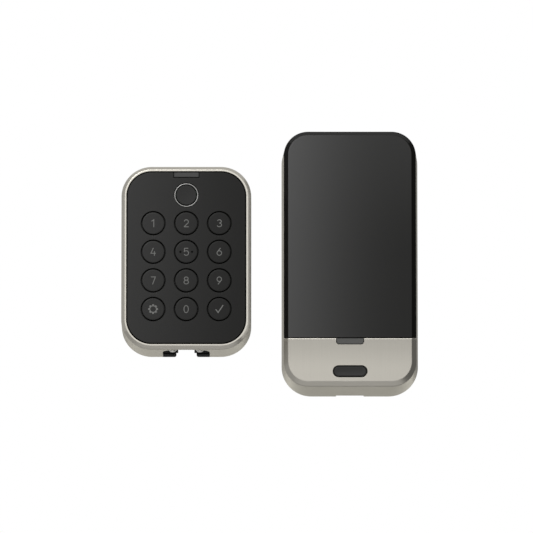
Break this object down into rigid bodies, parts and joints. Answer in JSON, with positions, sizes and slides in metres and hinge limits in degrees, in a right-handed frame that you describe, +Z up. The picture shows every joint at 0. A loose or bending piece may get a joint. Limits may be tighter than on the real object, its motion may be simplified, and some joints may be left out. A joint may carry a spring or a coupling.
{
  "type": "keypad smart lock",
  "caption": "Keypad smart lock: a nickel keypad unit with round keys and fingerprint sensor, and an inside unit with sliding battery cover, motor and gear train.",
  "frame": {"origin": "centre of the inside unit's mounting plate outline in width and the inside unit's mid height, on the door plane", "axes": "+Y points out of both units' backs into the door; both fronts face -Y; +Z is up; +X is to the right seen from the front, from the outside unit to the inside unit"},
  "size_m": [0.1499, 0.0255, 0.1342],
  "materials": {
    "satin_nickel": "warm grey satin nickel plating with a fine grain",
    "satin_black": "satin black, with a soft sheen",
    "key_black": "fine matt black key cap with a light grey symbol",
    "button_black": "matt black press button",
    "sensor_black": "smooth black touch surface",
    "polished_steel": "thin satin steel ring",
    "smoked_lens": "smoked grey light window",
    "latch_grey": "dark grey moulded tab",
    "silicone_rubber": "soft moulded silicone",
    "gasket_foam": "closed-cell weather seal",
    "circuit_board": "green solder mask",
    "connector_nylon": "natural nylon",
    "moulded_black": "black moulding with a fine texture",
    "chassis_polymer": "glass-filled black moulding",
    "tray_polymer": "black moulded battery tray",
    "zinc_plate": "zinc-plated pressed steel",
    "screw_steel": "bright zinc-plated steel",
    "contact_nickel": "nickel-plated spring contact",
    "brass_post": "turned brass",
    "brass_pinion": "cut brass",
    "gear_steel": "sintered steel gear",
    "gear_polymer": "natural acetal gear",
    "motor_case": "drawn steel can",
    "cell_wrap": "plain dark cell sleeve"
  },
  "bodies": {
    "lock_body": {"outside_housing": "satin_nickel", "face_plate": "satin_black", "fingerprint_ring": "polished_steel", "fingerprint_sensor": "sensor_black", "status_window": "smoked_lens", "key_mat": "silicone_rubber", "outside_board": "circuit_board", "outside_connector": "connector_nylon", "sounder": "moulded_black", "back_plate": "zinc_plate", "back_gasket": "gasket_foam", "terminal_block": "moulded_black", "terminal_left": "contact_nickel", "terminal_right": "contact_nickel", "mounting_post_left": "brass_post", "mounting_post_right": "brass_post", "outside_screw_1": "screw_steel", "outside_screw_2": "screw_steel", "inside_housing": "satin_nickel", "button_switch": "moulded_black", "button_board": "circuit_board", "mounting_plate": "zinc_plate", "chassis_plate": "chassis_polymer", "inside_board": "circuit_board", "inside_connector": "connector_nylon", "idler_pin": "screw_steel", "drive_motor": "motor_case", "gear_deck": "chassis_polymer", "battery_tray": "tray_polymer", "battery_cell_1": "cell_wrap", "battery_cell_2": "cell_wrap", "battery_cell_3": "cell_wrap", "battery_cell_4": "cell_wrap", "contact_top_left": "contact_nickel", "contact_top_right": "contact_nickel", "contact_bottom_left": "contact_nickel", "contact_bottom_middle": "contact_nickel", "contact_bottom_right": "contact_nickel", "chassis_screw_1": "screw_steel", "chassis_screw_2": "screw_steel", "plate_screw_1": "screw_steel", "plate_screw_2": "screw_steel"},
    "key_1": {"key_1": "key_black"},
    "key_2": {"key_2": "key_black"},
    "key_3": {"key_3": "key_black"},
    "key_4": {"key_4": "key_black"},
    "key_5": {"key_5": "key_black"},
    "key_6": {"key_6": "key_black"},
    "key_7": {"key_7": "key_black"},
    "key_8": {"key_8": "key_black"},
    "key_9": {"key_9": "key_black"},
    "key_settings": {"key_settings": "key_black"},
    "key_0": {"key_0": "key_black"},
    "key_enter": {"key_enter": "key_black"},
    "lock_button": {"lock_button": "button_black"},
    "cover_latch": {"cover_latch": "latch_grey"},
    "battery_cover": {"battery_cover": "satin_black"},
    "spindle_gear": {"spindle_gear": "gear_steel"},
    "idler_gear": {"idler_gear": "gear_polymer"},
    "motor_pinion": {"motor_pinion": "brass_pinion"}
  },
  "joints": [
    {"name": "key_1_press", "type": "slide", "parent": "lock_body", "child": "key_1", "axis": [0, 1, 0], "range_m": [0, 0.0008], "stiffness_N_per_m": 400},
    {"name": "key_2_press", "type": "slide", "parent": "lock_body", "child": "key_2", "axis": [0, 1, 0], "range_m": [0, 0.0008], "stiffness_N_per_m": 400},
    {"name": "key_3_press", "type": "slide", "parent": "lock_body", "child": "key_3", "axis": [0, 1, 0], "range_m": [0, 0.0008], "stiffness_N_per_m": 400},
    {"name": "key_4_press", "type": "slide", "parent": "lock_body", "child": "key_4", "axis": [0, 1, 0], "range_m": [0, 0.0008], "stiffness_N_per_m": 400},
    {"name": "key_5_press", "type": "slide", "parent": "lock_body", "child": "key_5", "axis": [0, 1, 0], "range_m": [0, 0.0008], "stiffness_N_per_m": 400},
    {"name": "key_6_press", "type": "slide", "parent": "lock_body", "child": "key_6", "axis": [0, 1, 0], "range_m": [0, 0.0008], "stiffness_N_per_m": 400},
    {"name": "key_7_press", "type": "slide", "parent": "lock_body", "child": "key_7", "axis": [0, 1, 0], "range_m": [0, 0.0008], "stiffness_N_per_m": 400},
    {"name": "key_8_press", "type": "slide", "parent": "lock_body", "child": "key_8", "axis": [0, 1, 0], "range_m": [0, 0.0008], "stiffness_N_per_m": 400},
    {"name": "key_9_press", "type": "slide", "parent": "lock_body", "child": "key_9", "axis": [0, 1, 0], "range_m": [0, 0.0008], "stiffness_N_per_m": 400},
    {"name": "key_settings_press", "type": "slide", "parent": "lock_body", "child": "key_settings", "axis": [0, 1, 0], "range_m": [0, 0.0008], "stiffness_N_per_m": 400},
    {"name": "key_0_press", "type": "slide", "parent": "lock_body", "child": "key_0", "axis": [0, 1, 0], "range_m": [0, 0.0008], "stiffness_N_per_m": 400},
    {"name": "key_enter_press", "type": "slide", "parent": "lock_body", "child": "key_enter", "axis": [0, 1, 0], "range_m": [0, 0.0008], "stiffness_N_per_m": 400},
    {"name": "lock_button_press", "type": "slide", "parent": "lock_body", "child": "lock_button", "axis": [0, 1, 0], "range_m": [0, 0.001], "stiffness_N_per_m": 500},
    {"name": "cover_latch_press", "type": "slide", "parent": "lock_body", "child": "cover_latch", "axis": [0, 1, 0], "range_m": [0, 0.001], "stiffness_N_per_m": 600},
    {"name": "battery_cover_slide", "type": "slide", "parent": "lock_body", "child": "battery_cover", "axis": [0, 0, 1], "range_m": [0, 0.11]},
    {"name": "spindle_turn", "type": "hinge", "parent": "lock_body", "child": "spindle_gear", "pos_m": [0, -0.0139, -0.031], "axis": [0, 1, 0], "range_deg": [-90, 90]},
    {"name": "idler_turn", "type": "hinge", "parent": "lock_body", "child": "idler_gear", "pos_m": [-0.01286, -0.0159, -0.01568], "axis": [0, 1, 0], "range_deg": [-360, 360]},
    {"name": "motor_turn", "type": "hinge", "parent": "lock_body", "child": "motor_pinion", "pos_m": [0.00308, -0.0179, -0.00648], "axis": [0, 1, 0], "range_deg": [-1296, 1296]}
  ],
  "couplings": [
    {"joint": "idler_turn", "follows": "spindle_turn", "ratio": -4},
    {"joint": "motor_turn", "follows": "spindle_turn", "ratio": 14.4}
  ]
}
